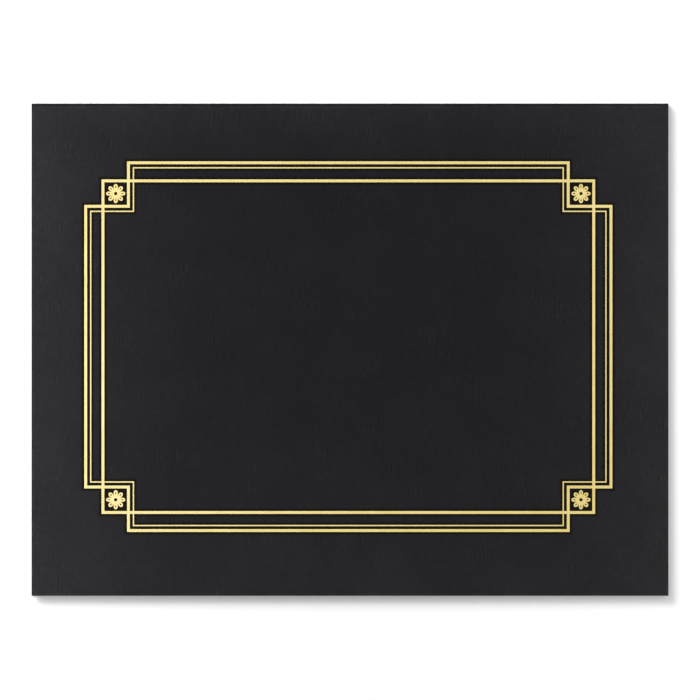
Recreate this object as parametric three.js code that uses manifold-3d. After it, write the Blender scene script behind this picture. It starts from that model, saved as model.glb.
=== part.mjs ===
// Certificate holder: a landscape cover of black linen-finish card, folded along its top edge.
// The front carries a gold foil border, and four card pockets inside grip a letter-size certificate.
// Millimetres, +Z up. The holder lies shut on its back: +X runs to the right, +Y to the folded top edge.

import * as THREE from "three";
import { mergeVertices } from "three/addons/utils/BufferGeometryUtils.js";
import Module from "manifold-3d";

const wasm = await Module();
wasm.setup();

// Driving dimensions of the cover
const WIDTH = 305;
const HEIGHT = 235.8;
const CARD = 0.4; // thickness of the linen card, for the cover and the corner pockets alike
const GLUE = 0.3; // thickness of the glue under the pockets, which leaves room for the certificate
const COVER_ROOM = 0.6; // free height between the pockets and the shut front cover
const FOLD_SLIT = 0.15; // gap between the front cover and the fold strip

// Corner pockets: triangles with blunt tips, glued along their two outer edges
const POCKET_INSET = 1.5; // from the cover's cut edges
const POCKET_INSET_FOLD = 2; // from the fold
const POCKET_LEG = 50; // the mouth then covers a letter-size certificate's corner by about 34 mm each way
const POCKET_TIP = 3; // width of the blunt tips
const GLUE_WIDTH = 3;
const GLUE_INSET = 1; // the glue stops short of the pocket's edges

// Foil border: a plain frame, and a stepped frame of two lines that cuts across its corners
const FOIL = 0.1;
const FRAME_WIDTH = 235;
const FRAME_HEIGHT = 158.8;
const STEP_OUT = [8.25, 8.65]; // in X and Y, from the plain frame out to the stepped frame's sides
const CORNER_BOX = 12.2; // square that the two frames close round at each corner
const FINE_INSET = 2.4; // the fine line runs this far inside the heavy stepped line
const HEAVY_LINE = 1.34;
const FINE_LINE = 0.58;
const BORDER_SHIFT = { x: -0.8, y: 1.4 }; // the foil is stamped a little off the cover's centre

// Rosette in each corner box: petals with an open vein, round an open eye
const PETALS = 8;
const PETAL_TIP = 4.6; // from the middle of the rosette
const PETAL_ROOT = 2.1;
const PETAL_FULLNESS = 0.6; // lower is blunter
const VEIN_FROM = 2.5;
const VEIN_TO = 3.9;
const VEIN_HALF_WIDTH = 0.3;
const EYE_RADIUS = 0.8;

// Smoothness of round stretches
const FOLD_STEPS = 16;
const PETAL_STEPS = 12;
const EYE_STEPS = 10;

// Heights and places that follow
const BOTTOM_EDGE = -HEIGHT / 2;
const POCKET_BASE = CARD + GLUE;
const FRONT_BASE = POCKET_BASE + CARD + COVER_ROOM;
const FOLD_RADIUS = (FRONT_BASE + CARD) / 2;
const FOLD_Y = HEIGHT / 2 - FOLD_RADIUS;
const HINGE_Y = HEIGHT / 2 - CARD / 2; // the cover swings about the middle of the card at the fold's crest
const CORNERS = { top_left: [-1, 1], top_right: [1, 1], bottom_left: [-1, -1], bottom_right: [1, -1] };

const card = new THREE.MeshStandardMaterial({ color: 0x252527, roughness: 0.85, metalness: 0 });
const pocketCard = new THREE.MeshStandardMaterial({ color: 0x1f1f21, roughness: 0.88, metalness: 0 });
const glue = new THREE.MeshStandardMaterial({ color: 0x4a4436, roughness: 0.5, metalness: 0 });
const gold = new THREE.MeshStandardMaterial({ color: 0xe2d68f, roughness: 0.32, metalness: 1 });

function named(name, geometry, material) {
  const mesh = new THREE.Mesh(geometry, material);
  mesh.name = name;
  return mesh;
}

// A flat panel between two corners, given in the frame of the group that it is added to
function panel(name, material, [x0, y0, z0], [x1, y1, z1]) {
  const mesh = named(name, new THREE.BoxGeometry(x1 - x0, y1 - y0, z1 - z0), material);
  mesh.position.set((x0 + x1) / 2, (y0 + y1) / 2, (z0 + z1) / 2);
  return mesh;
}

function extruded(shape, depth, curveSegments) {
  return new THREE.ExtrudeGeometry(shape, { depth, bevelEnabled: false, curveSegments });
}

// A closed geometry as a solid, ready to be joined to others
function solidOf(geometry) {
  const bare = geometry.clone();
  bare.deleteAttribute("normal");
  bare.deleteAttribute("uv");
  const merged = mergeVertices(bare);
  const vertProperties = merged.attributes.position.array;
  const triVerts = new Uint32Array(merged.index.array);
  return new wasm.Manifold(new wasm.Mesh({ numProp: 3, vertProperties, triVerts }));
}

function joined(geometries) {
  const solid = geometries.map(solidOf).reduce((whole, next) => whole.add(next));
  const { vertProperties, triVerts } = solid.getMesh();
  const geometry = new THREE.BufferGeometry();
  geometry.setAttribute("position", new THREE.BufferAttribute(vertProperties, 3));
  geometry.setIndex(new THREE.BufferAttribute(triVerts, 1));
  geometry.computeVertexNormals();
  return geometry;
}

// Back cover and fold strip

function backCover() {
  return panel("back_cover", card, [-WIDTH / 2, BOTTOM_EDGE, 0], [WIDTH / 2, FOLD_Y, CARD]);
}

// The card rolls over in a half round from the back cover to the front cover
function topFold() {
  const section = new THREE.Shape();
  section.absarc(0, 0, FOLD_RADIUS, -Math.PI / 2, Math.PI / 2, false);
  section.absarc(0, 0, FOLD_RADIUS - CARD, Math.PI / 2, -Math.PI / 2, true);
  section.closePath();
  const mesh = named("top_fold", extruded(section, WIDTH, FOLD_STEPS), card);
  const along = new THREE.Vector3(1, 0, 0);
  const outward = new THREE.Vector3(0, 1, 0);
  const up = new THREE.Vector3(0, 0, 1);
  mesh.rotation.setFromRotationMatrix(new THREE.Matrix4().makeBasis(outward, up, along));
  mesh.position.set(-WIDTH / 2, FOLD_Y, FOLD_RADIUS);
  return mesh;
}

// Corner pockets and the glue under them. Their mouths face the middle of the back cover.

// A flat piece in one corner of the back cover, with points measured inwards from the pocket's square corner
function cornerPiece(name, material, points, [sideX, sideY], base, depth) {
  const outerX = sideX * (WIDTH / 2 - POCKET_INSET);
  const outerY = sideY > 0 ? FOLD_Y - POCKET_INSET_FOLD : BOTTOM_EDGE + POCKET_INSET;
  const placed = points.map(([x, y]) => new THREE.Vector2(outerX - sideX * x, outerY - sideY * y));
  const mesh = named(name, extruded(new THREE.Shape(placed), depth, 1), material);
  mesh.position.z = base;
  return mesh;
}

function cornerPockets() {
  const pocket = [
    [0, 0],
    [POCKET_LEG, 0],
    [POCKET_LEG, POCKET_TIP],
    [POCKET_TIP, POCKET_LEG],
    [0, POCKET_LEG],
  ];
  const glueEnd = POCKET_LEG - 2 * GLUE_INSET; // short enough to stay clear of the mouth
  const glueInner = GLUE_INSET + GLUE_WIDTH;
  const seam = [
    [GLUE_INSET, GLUE_INSET],
    [glueEnd, GLUE_INSET],
    [glueEnd, glueInner],
    [glueInner, glueInner],
    [glueInner, glueEnd],
    [GLUE_INSET, glueEnd],
  ];
  return Object.entries(CORNERS).flatMap(([place, sides]) => [
    cornerPiece(`corner_pocket_${place}`, pocketCard, pocket, sides, POCKET_BASE, CARD),
    cornerPiece(`glue_seam_${place}`, glue, seam, sides, CARD, GLUE),
  ]);
}

// Front cover: its group stands on the axis that the cover swings about

function frontCover() {
  const base = FRONT_BASE - FOLD_RADIUS;
  const bottom = BOTTOM_EDGE - HINGE_Y;
  const top = FOLD_Y - FOLD_SLIT - HINGE_Y;
  return panel("front_cover", card, [-WIDTH / 2, bottom, base], [WIDTH / 2, top, base + CARD]);
}

// Foil border and corner rosettes

// A frame outline with a square step at each corner, or a plain one where no step is given
function frameOutline(target, halfX, halfY, stepX = halfX, stepY = halfY) {
  const corner = [
    [halfX, stepY],
    [stepX, stepY],
    [stepX, halfY],
  ];
  const quarters = [
    ...corner.map(([x, y]) => [x, y]),
    ...corner.map(([x, y]) => [-x, y]).reverse(),
    ...corner.map(([x, y]) => [-x, -y]),
    ...corner.map(([x, y]) => [x, -y]).reverse(),
  ];
  const points = quarters.map(([x, y]) => new THREE.Vector2(x, y));
  target.setFromPoints(points.filter((point, i) => !point.equals(points[(i + 1) % points.length])));
  return target;
}

// One line of the border: the ring between an outline moved out and the same outline moved in
function borderLine(line, ...halves) {
  const grown = (by) => halves.map((half) => half + by);
  const ring = frameOutline(new THREE.Shape(), ...grown(line / 2));
  ring.holes.push(frameOutline(new THREE.Path(), ...grown(-line / 2)));
  return extruded(ring, FOIL, 1);
}

function foilBorder() {
  const half = [FRAME_WIDTH / 2, FRAME_HEIGHT / 2];
  const stepped = [...half.map((h, axis) => h + STEP_OUT[axis]), ...half.map((h) => h - CORNER_BOX)];
  const fine = stepped.map((h) => h - FINE_INSET);
  const lines = [
    borderLine(HEAVY_LINE, ...half),
    borderLine(HEAVY_LINE, ...stepped),
    borderLine(FINE_LINE, ...fine),
  ];
  return named("foil_border", joined(lines), gold);
}

function polar(radius, angle) {
  return new THREE.Vector2(radius * Math.cos(angle), radius * Math.sin(angle));
}

// A slim opening along one petal, pointed at both ends
function vein(angle) {
  const middle = (VEIN_FROM + VEIN_TO) / 2;
  const along = polar(middle, angle);
  const aside = polar(VEIN_HALF_WIDTH, angle + Math.PI / 2);
  const sides = [along.clone().add(aside), along.clone().sub(aside)];
  return new THREE.Path([polar(VEIN_FROM, angle), sides[0], polar(VEIN_TO, angle), sides[1]]);
}

function rosette() {
  const outline = [];
  for (let i = 0; i < PETALS * PETAL_STEPS; i++) {
    const angle = (2 * Math.PI * i) / (PETALS * PETAL_STEPS);
    const swell = Math.abs(Math.cos((PETALS / 2) * angle)) ** PETAL_FULLNESS;
    outline.push(polar(PETAL_ROOT + (PETAL_TIP - PETAL_ROOT) * swell, angle));
  }
  const shape = new THREE.Shape(outline);
  for (let i = 0; i < PETALS; i++) {
    shape.holes.push(vein((2 * Math.PI * i) / PETALS));
  }
  const eye = new THREE.Path();
  eye.absarc(0, 0, EYE_RADIUS, 0, 2 * Math.PI, false);
  shape.holes.push(eye);
  return extruded(shape, FOIL, EYE_STEPS);
}

function foilRosettes() {
  const flower = rosette();
  const middleX = (FRAME_WIDTH - CORNER_BOX) / 2;
  const middleY = (FRAME_HEIGHT - CORNER_BOX) / 2;
  return Object.entries(CORNERS).map(([place, [sideX, sideY]]) => {
    const mesh = named(`foil_rosette_${place}`, flower, gold);
    mesh.position.set(sideX * middleX, sideY * middleY, 0);
    return mesh;
  });
}

function foil() {
  const group = new THREE.Group();
  group.add(foilBorder(), ...foilRosettes());
  group.position.set(BORDER_SHIFT.x, BORDER_SHIFT.y - HINGE_Y, FOLD_RADIUS);
  return group;
}

const swingingFront = new THREE.Group();
swingingFront.position.set(0, HINGE_Y, FOLD_RADIUS);
swingingFront.add(frontCover(), foil());

const holder = new THREE.Group();
holder.add(backCover(), topFold(), ...cornerPockets(), swingingFront);

export default holder;
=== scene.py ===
"""Certificate holder: a folded cover of black linen card with a gold foil border, lying shut on a floor.

Metres, +Z up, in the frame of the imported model: +X to the right, +Y to the folded top edge. Textures are
laid out in millimetres.
"""

import math

import bmesh
import bpy
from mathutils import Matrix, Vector

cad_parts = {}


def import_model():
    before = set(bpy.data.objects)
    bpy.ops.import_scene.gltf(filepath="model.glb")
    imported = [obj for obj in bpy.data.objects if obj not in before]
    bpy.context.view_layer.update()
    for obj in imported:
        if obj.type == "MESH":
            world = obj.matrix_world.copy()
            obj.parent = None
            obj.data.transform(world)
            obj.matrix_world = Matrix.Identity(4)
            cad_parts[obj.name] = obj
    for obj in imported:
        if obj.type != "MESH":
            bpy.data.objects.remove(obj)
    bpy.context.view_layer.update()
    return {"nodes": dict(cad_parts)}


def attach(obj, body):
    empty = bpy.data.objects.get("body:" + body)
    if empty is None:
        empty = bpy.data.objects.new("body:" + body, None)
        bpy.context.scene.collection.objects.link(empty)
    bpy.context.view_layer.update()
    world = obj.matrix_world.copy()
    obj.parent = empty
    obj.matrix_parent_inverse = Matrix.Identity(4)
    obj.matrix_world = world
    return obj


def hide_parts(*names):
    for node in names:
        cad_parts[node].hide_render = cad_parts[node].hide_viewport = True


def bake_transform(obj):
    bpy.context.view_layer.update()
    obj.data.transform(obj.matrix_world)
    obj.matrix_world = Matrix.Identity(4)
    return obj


MM = 0.001
UV_NAME = "Sheet"  # places on the flat sheet of card

# Cover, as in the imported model
WIDTH = 305 * MM
HEIGHT = 235.8 * MM
CARD = 0.4 * MM  # thickness of the card
GLUE = 0.3 * MM  # thickness of the glue under a pocket
COVER_ROOM = 0.6 * MM  # between the pockets and the front
POCKET_BASE = CARD + GLUE
FRONT_BASE = POCKET_BASE + CARD + COVER_ROOM
FRONT_TOP = FRONT_BASE + CARD
FOLD_RADIUS = FRONT_TOP / 2
FOLD_Y = HEIGHT / 2 - FOLD_RADIUS
PANEL = FOLD_Y + HEIGHT / 2  # height of the front and of the back, from the cut edge to the fold
FOLD_LENGTH = math.pi * (FOLD_RADIUS - CARD / 2)
SHEET_MIDDLE = PANEL + FOLD_LENGTH / 2  # along the sheet, from the back's cut edge to the middle of the fold

# Corner pockets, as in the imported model
POCKET_INSET = 1.5 * MM
POCKET_INSET_FOLD = 2 * MM
POCKET_LEG = 50 * MM
POCKET_TIP = 3 * MM
MOUTH_DEPTH = (POCKET_LEG + POCKET_TIP) * math.sqrt(0.5)  # from the square corner straight to the mouth
CORNERS = {"top_left": (-1, 1), "top_right": (1, 1), "bottom_left": (-1, -1), "bottom_right": (1, -1)}

# Foil border in millimetres, as in the imported model, for the pressed relief and the painted shade beside
# it
FRAME_HALF = (117.5, 79.4)
STEP_OUT = (8.25, 8.65)
CORNER_BOX = 12.2
FINE_INSET = 2.4
HEAVY_LINE = 1.34
FINE_LINE = 0.58
BORDER_SHIFT = (-0.8, 1.4)
FOIL_MARGIN = 1.7  # width of the margin beside the foil, which the die presses flat and which is darkened with a painted shade
FOIL_MARGIN_FULL = FOIL_MARGIN / 3  # it is darkest within this distance of the foil

# Fine shape of the card
EASE = 0.06 * MM  # rounding of the cut edges
EASE_STEPS = 2
EASE_ANGLE = math.radians(40)  # a pocket's edges are rounded where they turn by more than this
SHARP_ANGLE = math.radians(30)  # the shading breaks where faces meet at more than this
PANEL_STEPS = 20
FOLD_STEPS = 20
ACROSS_STEPS = 26
POCKET_ROWS = 14
POCKET_BOW = 0.4 * MM  # the middle of the mouth stands this much higher than its tips
BOW_START = 0.35  # the bow starts at this share of the way from the square corner to the mouth
BOW_SPREAD = 0.9  # and reaches this share of the same way to each side

# Linen emboss, in millimetres. A noise is its scale, detail and roughness, and a cut is where it starts to
# count and where it counts in full.
WAVE_PERIOD = math.pi / 10  # width of one band of the wave texture at a scale of 1
THREAD_PITCH = 0.62
THREAD_LENGTH = 9.0
THREAD_WAVER = {"Distortion": 1.6, "Detail": 1.0, "Detail Scale": 0.6}
THREAD_NOISE = (1.0, 1.5, 0.55)
THREAD_CUT = (0.36, 0.64)
LEVEL_THREADS = 0.7  # height of the level threads against the upright ones
SLUB_WIDTH = 0.7
SLUB_LENGTH = 6.0
SLUB_NOISE = (1.0, 1.0, 0.5)
SLUB_CUT = (0.82, 0.97)
SLUB_SLICES = {"upright": 50, "level": 90}  # heights in the noise, far apart so that the two ways differ
LEVEL_SLUBS = 0.5  # height of the level slubs against the upright ones
CLUSTER_SIZE = 18.0
CLUSTER_NOISE = (1 / CLUSTER_SIZE, 1.0, 0.5)
CLUSTER_WEIGHT = 0.4
WEAVE_HEIGHT = 0.5  # shares of the threads and of the slubs in the height of the emboss
SLUB_HEIGHT = 0.5
THREAD_HIGHLIGHT = 0.12  # how much paler the threads and the slubs are painted: a painted highlight on the raised emboss
SLUB_HIGHLIGHT = 0.5
SLUB_SHADE = 0.4  # how much darker the card is painted beside a slub: a painted shadow

# Card
CARD_TINT = (1.0, 0.97, 1.05)
FOIL_MARGIN_SHADE_TINT = (1.25, 1.0, 0.6)  # warm tint of the painted shade on the card beside the foil
CARD_DARK = 0.0027
CARD_LIGHT = 0.0154
TONE_RANGE = (-0.7, 1.3)  # tones of the darkest and of the lightest card
TONE_MIDDLE = 0.4  # taken off the clouds and the mottle, so that their tones lie round 0
CLOUD_NOISE = (0.03, 3.0, 0.6)
CLOUD_CUT = (0.3, 0.7)
CLOUD_TONE = 0.25
MOTTLE_NOISE = (0.35, 4.0, 0.65)
MOTTLE_TONE = 0.8
# how much darker the painted shade beside the foil makes the card
FOIL_MARGIN_PAINTED_SHADE = 0.75
DIE_RELIEF = 0.3  # height of the border on the inside of the front, against the linen's
CARD_ROUGHNESS = (0.92, 0.78)  # in the hollows and on the threads
CARD_SPECULAR = 0.14
CARD_BUMP = (0.45, 0.05 * MM)  # strength, and height of the emboss

# Painted light and shade on the card, and wear at the pocket mouths, in millimetres
PAINTED_LIGHT_SIDES = (105.0, 1.2)  # painted light: reach in from the edge, and how much paler the card is painted at the edge, standing in for brighter light there
PAINTED_LIGHT_FOLD = (40.0, 0.75)
PAINTED_LIGHT_FOOT = (130.0, 0.75)
# A painted highlight line in patches just inside the cut edges and over the fold, with a painted dark rim at
# the edges; the pocket mouths take a pale line of the same width
EDGE_LINE_WIDTH = 0.8
PAINTED_HIGHLIGHT_PALER = 0.35
HIGHLIGHT_NOISE = (0.12, 3.0, 0.6)
HIGHLIGHT_CUT = (0.35, 0.65)
RIM_SHADE_LEVEL = 0.25  # the darkest that the card gets, round the fold, under a painted shade that also darkens the cut edges a little
POCKET_LEVEL = 0.75  # a pocket and its mouth, against the cover; the pale mouth line is partly rubbed wear and partly a painted highlight
MOUTH_LEVEL = 2.6

# Foil
FOIL_DEEP = (0.65, 0.512, 0.155, 1.0)
FOIL_PALE = (0.69, 0.558, 0.180, 1.0)
FOIL_NOISE = (0.08, 3.0, 0.6)
FOIL_CUT = (0.3, 0.7)
FOIL_TONES = (-0.7, 1.0)  # tones of the roughest and of the smoothest foil
FOIL_ROUGHNESS = (0.38, 0.28)
FOIL_BUMP = (0.25, 0.03 * MM)

# Glue
GLUE_DARK = (0.03, 0.025, 0.015, 1.0)
GLUE_PALE = (0.09, 0.075, 0.05, 1.0)
GLUE_STRETCH = (1, 1, 4)
GLUE_NOISE = (0.9, 4.0, 0.6)
GLUE_CUT = (0.3, 0.7)
GLUE_ROUGHNESS = (0.25, 0.5)
GLUE_BUMP = (0.4, 0.1 * MM)

# Camera and floor
VIEW_WIDTH = 335.2 * MM  # width of the picture where the front cover lies
VIEW_CENTRE_Y = -0.2 * MM
CAMERA_DISTANCE = 1.6
SENSOR = 36
FLOOR_SIZE = 6
FLOOR_DROP = 0.05 * MM
FLOOR_COLOUR = 0.95
FLOOR_REACH = (0.008, 0.60)  # the floor's own glow grows between these distances from the shut holder
FLOOR_GLOW = (0.17, 1.00)

# Soft panels: place, width, height, radiance, and what the panel reaches. The "matt" panels light the card
# and the floor and are not mirrored, the "foil" panels are only mirrored, and the "holder" panel spares the
# floor.
PANELS = {
    "key": ((-1.4, 1.7, 0.84), 1.8, 0.7, 15.7, "matt"),
    "low_key": ((-1.4, 1.7, 0.50), 1.8, 0.4, 5.3, "matt"),
    "glow": ((-1.1, 1.4, 1.25), 2.0, 1.2, 0.8, "all"),
    "overhead": ((-0.9, 0.3, 2.0), 1.2, 1.2, 0.4, "all"),
    "left": ((-0.30, 0.0, 0.10), 0.6, 0.08, 1.6, "all"),
    "left_holder": ((-0.30, 0.0, 0.10), 0.6, 0.08, 2.8, "holder"),
    "right": ((0.36, 0.0, 0.20), 0.6, 0.12, 1.85, "all"),
    "sheen_left": ((-0.72, -0.1, 1.45), 0.3, 1.2, 1.9, "foil"),
    "sheen_right": ((0.72, 0.35, 1.45), 0.3, 1.2, 0.8, "foil"),
}
PANEL_POWER = 4  # watts for each square metre of a panel and unit of radiance
SHEEN_TINT = (0.85, 0.97, 2.5)  # the panels that are only mirrored are bluish
WORLD_LEVEL = 0.15


# Node helpers


class Nodes:
    """Adds nodes to one material and links them, so that a material reads from top to bottom."""

    def __init__(self, name):
        self.material = bpy.data.materials.new(name)
        self.material.use_nodes = True
        self.tree = self.material.node_tree
        self.shader = self.tree.nodes["Principled BSDF"]

    def add(self, kind, **settings):
        node = self.tree.nodes.new(kind)
        for key, value in settings.items():
            setattr(node, key, value)
        return node

    def feed(self, socket, value):
        if isinstance(value, bpy.types.NodeSocket):
            self.tree.links.new(value, socket)
        else:
            socket.default_value = value

    def math(self, operation, *values):
        node = self.add("ShaderNodeMath", operation=operation)
        for socket, value in zip(node.inputs, values):
            self.feed(socket, value)
        return node.outputs[0]

    def vector(self, operation, *values):
        node = self.add("ShaderNodeVectorMath", operation=operation)
        for socket, value in zip(node.inputs, values):
            self.feed(socket, value)
        return node.outputs["Vector"]

    def ramp(self, value, low, high, to_low=0.0, to_high=1.0, smooth=True):
        kind = "SMOOTHSTEP" if smooth else "LINEAR"
        node = self.add("ShaderNodeMapRange", interpolation_type=kind, clamp=True)
        for socket, number in zip(node.inputs, (value, low, high, to_low, to_high)):
            self.feed(socket, number)
        return node.outputs[0]

    def noise(self, coordinates, scale, detail, roughness):
        node = self.add("ShaderNodeTexNoise")
        self.feed(node.inputs["Vector"], coordinates)
        node.inputs["Scale"].default_value = scale
        node.inputs["Detail"].default_value = detail
        node.inputs["Roughness"].default_value = roughness
        return node.outputs[0]

    def mix(self, factor, first, second):
        node = self.add("ShaderNodeMix", data_type="RGBA")
        self.feed(node.inputs["Factor"], factor)
        self.feed(node.inputs["A"], first)
        self.feed(node.inputs["B"], second)
        return node.outputs["Result"]

    def bump(self, height, strength, distance):
        node = self.add("ShaderNodeBump")
        node.inputs["Strength"].default_value = strength
        node.inputs["Distance"].default_value = distance
        self.feed(node.inputs["Height"], height)
        self.feed(self.shader.inputs["Normal"], node.outputs[0])

    def set(self, **values):
        for name, value in values.items():
            self.feed(self.shader.inputs[name.replace("_", " ")], value)


def grey(level):
    return (level, level, level, 1.0)


def in_millimetres(nodes, coordinates):
    return nodes.vector("MULTIPLY", coordinates, (1 / MM, 1 / MM, 1 / MM))


def sheet_millimetres(nodes):
    return in_millimetres(nodes, nodes.add("ShaderNodeUVMap", uv_map=UV_NAME).outputs[0])


def object_millimetres(nodes):
    return in_millimetres(nodes, nodes.add("ShaderNodeTexCoord").outputs["Object"])


def distances(nodes, coordinates, centre):
    """How far each point lies from the centre, across and along."""
    split = nodes.add("ShaderNodeSeparateXYZ")
    nodes.feed(split.inputs[0], nodes.vector("ABSOLUTE", nodes.vector("SUBTRACT", coordinates, centre)))
    return split.outputs["X"], split.outputs["Y"]


# Linen emboss


def stretched(nodes, coordinates, width, length, way):
    """Coordinates in which a thread of this width and length measures 1 each way."""
    across = 1 / width
    along = 1 / length
    scales = (across, along, 1) if way == "upright" else (along, across, 1)
    return nodes.vector("MULTIPLY", coordinates, scales)


def threads(nodes, coordinates, way):
    """Height of the embossed threads that run one way, from 0 to 1, each thread strong in places."""
    strong = nodes.noise(stretched(nodes, coordinates, THREAD_PITCH, THREAD_LENGTH, way), *THREAD_NOISE)
    ridge = nodes.add("ShaderNodeTexWave", bands_direction="X" if way == "upright" else "Y")
    nodes.feed(ridge.inputs["Vector"], coordinates)
    ridge.inputs["Scale"].default_value = WAVE_PERIOD / THREAD_PITCH
    for name, value in THREAD_WAVER.items():
        ridge.inputs[name].default_value = value
    return nodes.math("MULTIPLY", ridge.outputs["Fac"], nodes.ramp(strong, *THREAD_CUT))


def slubs(nodes, coordinates, way, shift=0.0):
    """Sparse thicker threads that run one way in clusters, from 0 to 1, moved sideways by the shift."""
    moved = nodes.vector("ADD", coordinates, (shift, 0, SLUB_SLICES[way]))
    found = nodes.noise(stretched(nodes, moved, SLUB_WIDTH, SLUB_LENGTH, way), *SLUB_NOISE)
    cluster = nodes.noise(coordinates, *CLUSTER_NOISE)
    return nodes.ramp(nodes.math("MULTIPLY_ADD", cluster, CLUSTER_WEIGHT, found), *SLUB_CUT)


def linen(nodes, coordinates):
    """Height of the emboss, and its lightness: a painted highlight along the raised threads and a painted
    shadow beside the thick ones.
    """
    upright = threads(nodes, coordinates, "upright")
    level = nodes.math("MULTIPLY", threads(nodes, coordinates, "level"), LEVEL_THREADS)
    weave = nodes.math("MULTIPLY", nodes.math("MAXIMUM", upright, level), WEAVE_HEIGHT)
    crossing = nodes.math("MULTIPLY", slubs(nodes, coordinates, "level"), LEVEL_SLUBS)
    thick = nodes.math("MAXIMUM", slubs(nodes, coordinates, "upright"), crossing)
    height = nodes.math("ADD", weave, nodes.math("MULTIPLY", thick, SLUB_HEIGHT))
    # painted shadow beside the thick threads, and painted highlights along the raised threads and slubs
    shade = nodes.math("MULTIPLY", slubs(nodes, coordinates, "upright", SLUB_WIDTH), SLUB_SHADE)
    bright = nodes.math("SUBTRACT", nodes.math("MULTIPLY", thick, SLUB_HIGHLIGHT), shade)
    lightness_offset = nodes.math("ADD", nodes.math("MULTIPLY", upright, THREAD_HIGHLIGHT), bright)
    return height, lightness_offset


# Painted light and shade on the card, the pressed relief beside the foil, and wear at the pocket mouths


def pressed_and_shaded_margin(nodes, coordinates):
    """1 beside the foil lines and round the corner ornaments, falling to 0 at the margin's edge. It shapes
    the pressed relief beside the foil, and on the outside also the painted shade there.
    """
    centre_y = (PANEL + FOLD_LENGTH + FOLD_Y) / MM - BORDER_SHIFT[1]
    x, y = distances(nodes, coordinates, (BORDER_SHIFT[0], centre_y, 0))

    def outside(half_x, half_y):
        return nodes.math("MAXIMUM", nodes.math("SUBTRACT", x, half_x), nodes.math("SUBTRACT", y, half_y))

    def beside(distance, line):
        return nodes.math("SUBTRACT", nodes.math("ABSOLUTE", distance), line / 2)

    half_x, half_y = FRAME_HALF
    plain = outside(half_x, half_y)
    wide = outside(half_x + STEP_OUT[0], half_y - CORNER_BOX)
    tall = outside(half_x - CORNER_BOX, half_y + STEP_OUT[1])
    stepped = nodes.math("MINIMUM", wide, tall)
    fine = nodes.math("ADD", stepped, FINE_INSET)
    box_x = nodes.math("ABSOLUTE", nodes.math("SUBTRACT", x, half_x - CORNER_BOX / 2))
    box_y = nodes.math("ABSOLUTE", nodes.math("SUBTRACT", y, half_y - CORNER_BOX / 2))
    box = nodes.math("SUBTRACT", nodes.math("MAXIMUM", box_x, box_y), CORNER_BOX / 2)
    nearest = nodes.math("MINIMUM", beside(plain, HEAVY_LINE), beside(stepped, HEAVY_LINE))
    nearest = nodes.math("MINIMUM", nearest, beside(fine, FINE_LINE))
    nearest = nodes.math("MINIMUM", nearest, box)
    return nodes.ramp(nearest, FOIL_MARGIN_FULL, FOIL_MARGIN, 1.0, 0.0)


def painted_edge_light(nodes, coordinates):
    """Factor for the outside of the cover: painted light, paler towards its edges and the fold, with a
    painted highlight line just inside them and a painted shade at the rim and over the fold.
    """
    x, y = distances(nodes, coordinates, (0, SHEET_MIDDLE / MM, 0))
    side = nodes.math("SUBTRACT", WIDTH / 2 / MM, x)
    foot = nodes.math("SUBTRACT", SHEET_MIDDLE / MM, y)
    fold = nodes.math("SUBTRACT", y, FOLD_LENGTH / 2 / MM)

    def near(distance, reach, amount):
        close = nodes.ramp(distance, 0.0, reach, 1.0, 0.0, smooth=False)
        return nodes.math("MULTIPLY", nodes.math("POWER", close, 2.0), amount)

    # painted light: the card is paler towards its edges, the fold and the foot
    sides = near(side, *PAINTED_LIGHT_SIDES)
    ends = nodes.math("MAXIMUM", near(fold, *PAINTED_LIGHT_FOLD), near(foot, *PAINTED_LIGHT_FOOT))
    squares = nodes.math("ADD", nodes.math("POWER", sides, 2.0), nodes.math("POWER", ends, 2.0))
    painted_light = nodes.math("ADD", nodes.math("SQRT", squares), 1.0)
    nearest = nodes.math("MINIMUM", side, nodes.math("MINIMUM", foot, fold))
    # painted highlight line inside the edges, and painted shade at the rim and over the fold
    patchy = nodes.ramp(nodes.noise(coordinates, *HIGHLIGHT_NOISE), *HIGHLIGHT_CUT)
    painted_highlight = nodes.math("MULTIPLY", nodes.ramp(nearest, EDGE_LINE_WIDTH, 2 * EDGE_LINE_WIDTH, 1.0, 0.0), PAINTED_HIGHLIGHT_PALER)
    highlighted = nodes.math("ADD", nodes.math("MULTIPLY", painted_highlight, patchy), 1.0)
    rim_shade = nodes.ramp(nearest, -EDGE_LINE_WIDTH, EDGE_LINE_WIDTH, RIM_SHADE_LEVEL, 1.0)
    return nodes.math("MULTIPLY", nodes.math("MULTIPLY", painted_light, highlighted), rim_shade)


def mouth_rub_and_highlight(nodes, coordinates):
    """Factor for a pocket: darker than the cover, with a pale line along its mouth that is partly rubbed
    wear and partly a painted highlight.
    """
    from_corner = nodes.math("ADD", *distances(nodes, coordinates, (0, 0, 0)))
    short = nodes.math("SUBTRACT", (POCKET_LEG + POCKET_TIP) / MM, from_corner)
    return nodes.ramp(short, EDGE_LINE_WIDTH, 2 * EDGE_LINE_WIDTH, MOUTH_LEVEL, POCKET_LEVEL)


# Materials


def card_level(nodes, coordinates, thread_light):
    """Lightness of the card: cloudy and mottled, with the painted highlights and shadows of the linen."""
    cloudy = nodes.ramp(nodes.noise(coordinates, *CLOUD_NOISE), *CLOUD_CUT)
    clouds = nodes.math("MULTIPLY", cloudy, CLOUD_TONE)
    mottle = nodes.math("MULTIPLY", nodes.noise(coordinates, *MOTTLE_NOISE), MOTTLE_TONE)
    uneven = nodes.math("SUBTRACT", nodes.math("ADD", clouds, mottle), TONE_MIDDLE)
    lightness_offset = nodes.math("ADD", thread_light, uneven)
    return nodes.ramp(lightness_offset, *TONE_RANGE, CARD_DARK, CARD_LIGHT, smooth=False)


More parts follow.
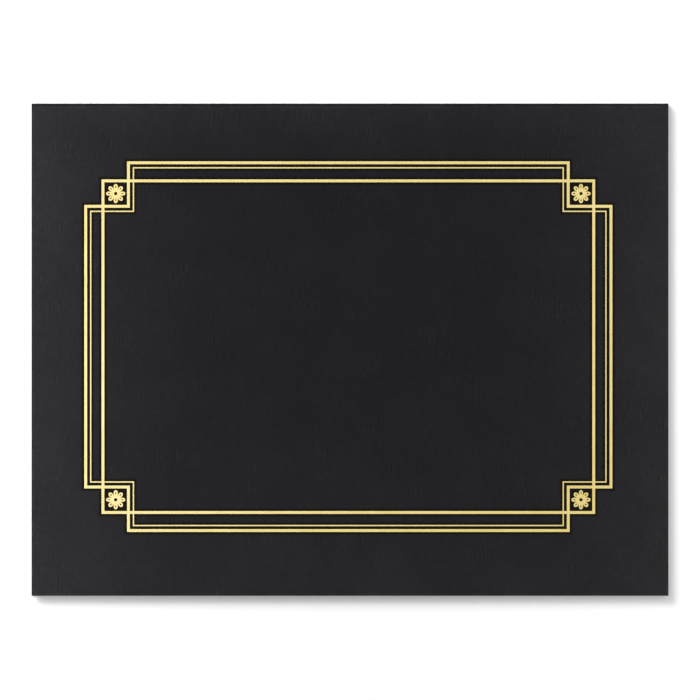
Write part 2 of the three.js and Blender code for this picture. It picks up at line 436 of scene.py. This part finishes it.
def card_finish(nodes, tint, level, height):
    """The card's colour, roughness and bump."""
    tinted = nodes.add("ShaderNodeVectorMath", operation="SCALE")
    nodes.feed(tinted.inputs[0], tint)
    nodes.feed(tinted.inputs["Scale"], level)
    roughness = nodes.ramp(height, 0.0, 1.0, *CARD_ROUGHNESS, smooth=False)
    nodes.set(Base_Color=tinted.outputs[0], Roughness=roughness, Specular_IOR_Level=CARD_SPECULAR)
    nodes.bump(height, *CARD_BUMP)
    return nodes.material


def outside_card():
    """Outside of the cover: painted light and shade towards its edges and over the fold, and card that the
    die pressed flat beside the foil, with a painted shade there.
    """
    nodes = Nodes("linen_card")
    coordinates = sheet_millimetres(nodes)
    height, thread_light = linen(nodes, coordinates)
    margin = pressed_and_shaded_margin(nodes, coordinates)
    painted_lit_level = nodes.math("MULTIPLY", card_level(nodes, coordinates, thread_light), painted_edge_light(nodes, coordinates))
    # painted shade beside the foil
    kept = nodes.math("SUBTRACT", 1.0, nodes.math("MULTIPLY", margin, FOIL_MARGIN_PAINTED_SHADE))
    level = nodes.math("MULTIPLY", painted_lit_level, kept)
    tint = nodes.mix(margin, (*CARD_TINT, 1.0), (*FOIL_MARGIN_SHADE_TINT, 1.0))
    flat = nodes.math("MULTIPLY", height, nodes.math("SUBTRACT", 1.0, margin))
    return card_finish(nodes, tint, level, nodes.math("SUBTRACT", flat, margin))


def inside_card():
    """Inside of the cover, where the border shows through as a faint relief."""
    nodes = Nodes("linen_card_inside")
    coordinates = sheet_millimetres(nodes)
    height, thread_light = linen(nodes, coordinates)
    relief = nodes.math("MULTIPLY", pressed_and_shaded_margin(nodes, coordinates), DIE_RELIEF)
    level = card_level(nodes, coordinates, thread_light)
    return card_finish(nodes, CARD_TINT, level, nodes.math("ADD", height, relief))


def pocket_card():
    nodes = Nodes("pocket_card")
    coordinates = sheet_millimetres(nodes)
    height, thread_light = linen(nodes, coordinates)
    # pale mouth line: partly rubbed wear, partly a painted highlight
    level = nodes.math("MULTIPLY", card_level(nodes, coordinates, thread_light), mouth_rub_and_highlight(nodes, coordinates))
    return card_finish(nodes, CARD_TINT, level, height)


def gold_foil():
    """Foil that follows the linen under it, with a slightly uneven colour."""
    nodes = Nodes("gold_foil")
    coordinates = object_millimetres(nodes)
    height, thread_light = linen(nodes, coordinates)
    cloudy = nodes.ramp(nodes.noise(coordinates, *FOIL_NOISE), *FOIL_CUT)
    roughness = nodes.ramp(thread_light, *FOIL_TONES, *FOIL_ROUGHNESS, smooth=False)
    nodes.set(Base_Color=nodes.mix(cloudy, FOIL_DEEP, FOIL_PALE), Metallic=1.0, Roughness=roughness)
    nodes.bump(height, *FOIL_BUMP)
    return nodes.material


def dried_glue():
    nodes = Nodes("dried_glue")
    coordinates = nodes.vector("MULTIPLY", object_millimetres(nodes), GLUE_STRETCH)
    streaks = nodes.noise(coordinates, *GLUE_NOISE)
    roughness = nodes.ramp(streaks, *GLUE_CUT, *GLUE_ROUGHNESS)
    nodes.set(Base_Color=nodes.mix(streaks, GLUE_DARK, GLUE_PALE), Roughness=roughness)
    nodes.bump(streaks, *GLUE_BUMP)
    return nodes.material


# Meshes


def lay_out(mesh, layer, place):
    """Gives each corner of each face its place on the flat sheet."""
    for face in mesh.faces:
        for loop in face.loops:
            loop[layer].uv = place(loop.vert)


def finished(name, mesh, *materials):
    """The mesh as an object with its materials and smooth faces that break at sharp edges."""
    bmesh.ops.recalc_face_normals(mesh, faces=mesh.faces)
    data = bpy.data.meshes.new(name)
    mesh.to_mesh(data)
    mesh.free()
    for material in materials:
        data.materials.append(material)
    data.shade_smooth()
    data.set_sharp_from_angle(angle=SHARP_ANGLE)
    piece = bpy.data.objects.new(name, data)
    bpy.context.collection.objects.link(piece)
    return piece


# Cover: one sheet of card, drawn as a back, a front and the fold between them, which meet without a gap


def panel_pairs(outer_z, inner_z, along_at):
    """Pairs of points from the cut edge to the fold: outer (y, z), inner (y, z), place along the sheet."""
    lift = math.copysign(EASE, inner_z - outer_z)
    edge = -HEIGHT / 2
    pairs = [((edge, outer_z + lift), (edge, inner_z - lift), along_at(0.0))]
    for i in range(PANEL_STEPS + 1):
        reach = EASE + (PANEL - EASE) * i / PANEL_STEPS
        pairs.append(((edge + reach, outer_z), (edge + reach, inner_z), along_at(reach)))
    return pairs


def fold_pairs():
    """The same pairs of points round the fold, from the back to the front."""
    pairs = []
    for i in range(FOLD_STEPS + 1):
        turn = math.pi * i / FOLD_STEPS
        pair = []
        for radius in (FOLD_RADIUS, FOLD_RADIUS - CARD):
            pair.append((FOLD_Y + radius * math.sin(turn), FOLD_RADIUS - radius * math.cos(turn)))
        pairs.append((*pair, PANEL + FOLD_LENGTH * i / FOLD_STEPS))
    return pairs


def drawn_in(pairs):
    """The pairs moved in from the card's faces and cut edge, to round its left and right edges."""
    share = EASE / CARD
    lowest = -HEIGHT / 2 + EASE
    result = []
    for (outer_y, outer_z), (inner_y, inner_z), along in pairs:
        step_y = (inner_y - outer_y) * share
        step_z = (inner_z - outer_z) * share
        outer = (max(outer_y + step_y, lowest), outer_z + step_z)
        inner = (max(inner_y - step_y, lowest), inner_z - step_z)
        result.append((outer, inner, along))
    return result


def stations(pairs):
    """Places across the sheet, each with its pairs: rounded at the left and right edges and full between."""
    half = WIDTH / 2
    full = half - EASE
    eased = drawn_in(pairs)
    between = [(-full + 2 * full * i / ACROSS_STEPS, pairs) for i in range(ACROSS_STEPS + 1)]
    return [(-half, eased), *between, (half, eased)]


def sheet_ring(mesh, places, x, pairs):
    """A ring of points round the card at x, out along its outer face and back along its inner face."""
    points = [(outer, along) for outer, inner, along in pairs]
    points += [(inner, along) for outer, inner, along in reversed(pairs)]
    ring = []
    for (y, z), along in points:
        vert = mesh.verts.new((x, y, z))
        places[vert] = (x, along)
        ring.append(vert)
    return ring


def sheet_piece(name, pairs, outside, inside):
    """A stretch of the sheet as a closed mesh, with one material outside and on its edges and one inside."""
    mesh = bmesh.new()
    layer = mesh.loops.layers.uv.new(UV_NAME)
    places = {}
    rings = [sheet_ring(mesh, places, x, across) for x, across in stations(pairs)]
    count = len(pairs)
    for ring, following in zip(rings, rings[1:]):
        for i in range(2 * count):
            j = (i + 1) % (2 * count)
            face = mesh.faces.new((ring[i], following[i], following[j], ring[j]))
            face.material_index = int(count <= i < 2 * count - 1)
    for ring in (rings[0], rings[-1]):
        for i in range(count - 1):
            mesh.faces.new((ring[i], ring[i + 1], ring[-i - 2], ring[-i - 1]))
    lay_out(mesh, layer, places.get)
    return finished(name, mesh, outside, inside)


def cover(outside, inside):
    back_pairs = panel_pairs(0.0, CARD, lambda reach: reach)
    back = sheet_piece("back_sheet", back_pairs, outside, inside)
    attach(back, "back")
    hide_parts("back_cover")
    front_pairs = panel_pairs(FRONT_TOP, FRONT_BASE, lambda reach: 2 * SHEET_MIDDLE - reach)
    front = sheet_piece("front_sheet", front_pairs, outside, inside)
    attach(front, "front")
    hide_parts("front_cover")
    fold = sheet_piece("fold_sheet", fold_pairs(), outside, inside)
    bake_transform(fold)
    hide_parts("top_fold")


# Corner pockets


def cut(mesh, point, normal):
    geometry = mesh.verts[:] + mesh.edges[:] + mesh.faces[:]
    bmesh.ops.bisect_plane(mesh, geom=geometry, plane_co=point, plane_no=normal)


def mouth_bow(depth, aside):
    """How far the card bows up, from the shares of the way to the mouth and to each side."""
    spread = max(0.0, 1 - (aside / BOW_SPREAD) ** 2)
    return POCKET_BOW * spread * max(0.0, (depth - BOW_START) / (1 - BOW_START)) ** 2


def card_thickness(piece):
    """Makes the card solid below its top face, and rounds its edges."""
    faces_up = piece.data.polygons[0].normal.z > 0
    thickness = piece.modifiers.new("thickness", "SOLIDIFY")
    thickness.thickness = CARD
    thickness.offset = -1.0 if faces_up else 1.0
    bevel = piece.modifiers.new("edges", "BEVEL")
    bevel.width = EASE
    bevel.segments = EASE_STEPS
    bevel.limit_method = "ANGLE"
    bevel.angle_limit = EASE_ANGLE


def pocket_sheet(place, sides, material):
    """One pocket: a triangle with blunt tips, in rows from its square corner to its mouth, which bows up."""
    side_x, side_y = sides
    outer_x = side_x * (WIDTH / 2 - POCKET_INSET)
    outer_y = FOLD_Y - POCKET_INSET_FOLD if side_y > 0 else -HEIGHT / 2 + POCKET_INSET
    corner = Vector((outer_x, outer_y, 0))
    inward = Vector((-side_x, -side_y, 0)).normalized()
    sideways = Vector((-inward.y, inward.x, 0))
    mesh = bmesh.new()
    layer = mesh.loops.layers.uv.new(UV_NAME)
    outline = [(0, 0), (POCKET_LEG, 0), (POCKET_LEG, POCKET_TIP), (POCKET_TIP, POCKET_LEG), (0, POCKET_LEG)]
    top = POCKET_BASE + CARD
    mesh.faces.new([mesh.verts.new((outer_x - side_x * a, outer_y - side_y * b, top)) for a, b in outline])
    for i in range(1, POCKET_ROWS):
        cut(mesh, corner + inward * MOUTH_DEPTH * i / POCKET_ROWS, inward)
    for i in range(1 - POCKET_ROWS, POCKET_ROWS):
        cut(mesh, corner + sideways * MOUTH_DEPTH * i / POCKET_ROWS, sideways)
    for vert in mesh.verts:
        from_corner = (vert.co - corner) / MOUTH_DEPTH
        vert.co.z += mouth_bow(from_corner.dot(inward), from_corner.dot(sideways))
    lay_out(mesh, layer, lambda vert: (abs(outer_x - vert.co.x), abs(outer_y - vert.co.y)))
    piece = finished(f"pocket_sheet_{place}", mesh, material)
    card_thickness(piece)
    return piece


def pockets(material):
    for place, sides in CORNERS.items():
        pocket = pocket_sheet(place, sides, material)
        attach(pocket, "back")
        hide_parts(f"corner_pocket_{place}")


# Foil and glue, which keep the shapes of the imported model


def finish_nodes(cad_nodes):
    finishes = {"foil": gold_foil(), "glue": dried_glue()}
    for name, node in cad_nodes.items():
        kind = name.split("_")[0]
        if kind in finishes:
            node.data.materials.clear()
            node.data.materials.append(finishes[kind])


# Stage


def lights(ground):
    spared = bpy.data.collections.new("spared_floor")
    spared.objects.link(ground)
    spared.collection_objects[0].light_linking.link_state = "EXCLUDE"
    for name, (place, width, height, radiance, reach) in PANELS.items():
        data = bpy.data.lights.new(name, "AREA")
        data.shape = "RECTANGLE"
        data.size = width
        data.size_y = height
        data.energy = PANEL_POWER * width * height * radiance
        light = bpy.data.objects.new(name, data)
        light.location = place
        light.rotation_euler = (-Vector(place)).to_track_quat("-Z", "Y").to_euler()
        light.visible_camera = False
        light.visible_diffuse = reach != "foil"
        light.visible_glossy = reach != "matt"
        if reach == "foil":
            data.color = SHEEN_TINT
        if reach == "holder":
            light.light_linking.receiver_collection = spared
        bpy.context.collection.objects.link(light)


def seen_rays(tree):
    """1 for what the camera sees, straight, mirrored or through something clear."""
    path = tree.nodes.new("ShaderNodeLightPath")
    total = path.outputs["Is Camera Ray"]
    for name in ("Is Glossy Ray", "Is Transmission Ray"):
        larger = tree.nodes.new("ShaderNodeMath")
        larger.operation = "MAXIMUM"
        tree.links.new(total, larger.inputs[0])
        tree.links.new(path.outputs[name], larger.inputs[1])
        total = larger.outputs[0]
    return total


def world():
    made = bpy.data.worlds.new("studio")
    made.use_nodes = True
    bpy.context.scene.world = made
    tree = made.node_tree
    background = tree.nodes["Background"]
    background.inputs["Color"].default_value = grey(1.0)
    strength = tree.nodes.new("ShaderNodeMapRange")
    strength.inputs["To Min"].default_value = WORLD_LEVEL
    strength.inputs["To Max"].default_value = 1.0
    tree.links.new(seen_rays(tree), strength.inputs["Value"])
    tree.links.new(strength.outputs[0], background.inputs["Strength"])


def floor_material():
    """Pale and matt. Its own glow grows with the distance from the holder, so that the shadow stays."""
    nodes = Nodes("floor")
    place = nodes.add("ShaderNodeTexCoord").outputs["Object"]
    beyond = nodes.vector("SUBTRACT", nodes.vector("ABSOLUTE", place), (WIDTH / 2, HEIGHT / 2, 0))
    away = nodes.add("ShaderNodeVectorMath", operation="LENGTH")
    nodes.feed(away.inputs[0], nodes.vector("MAXIMUM", beyond, (0, 0, 0)))
    glow = nodes.ramp(away.outputs["Value"], *FLOOR_REACH, *FLOOR_GLOW)
    seen_glow = nodes.math("MULTIPLY", seen_rays(nodes.tree), glow)
    nodes.set(Base_Color=grey(FLOOR_COLOUR), Roughness=1.0, Specular_IOR_Level=0.0)
    nodes.set(Emission_Color=grey(1.0), Emission_Strength=seen_glow)
    return nodes.material


def floor():
    mesh = bmesh.new()
    bmesh.ops.create_grid(mesh, x_segments=2, y_segments=2, size=FLOOR_SIZE / 2)
    piece = finished("floor", mesh, floor_material())
    piece.location.z = -FLOOR_DROP
    return piece


def camera():
    data = bpy.data.cameras.new("camera")
    data.sensor_width = SENSOR
    data.lens = SENSOR * CAMERA_DISTANCE / VIEW_WIDTH
    made = bpy.data.objects.new("camera", data)
    made.location = (0, VIEW_CENTRE_Y, FRONT_TOP + CAMERA_DISTANCE)
    bpy.context.collection.objects.link(made)
    bpy.context.scene.camera = made


def main():
    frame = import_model()
    bpy.context.scene.view_settings.view_transform = "Standard"
    camera()
    world()
    lights(floor())
    cover(outside_card(), inside_card())
    pockets(pocket_card())
    finish_nodes(frame["nodes"])


main()
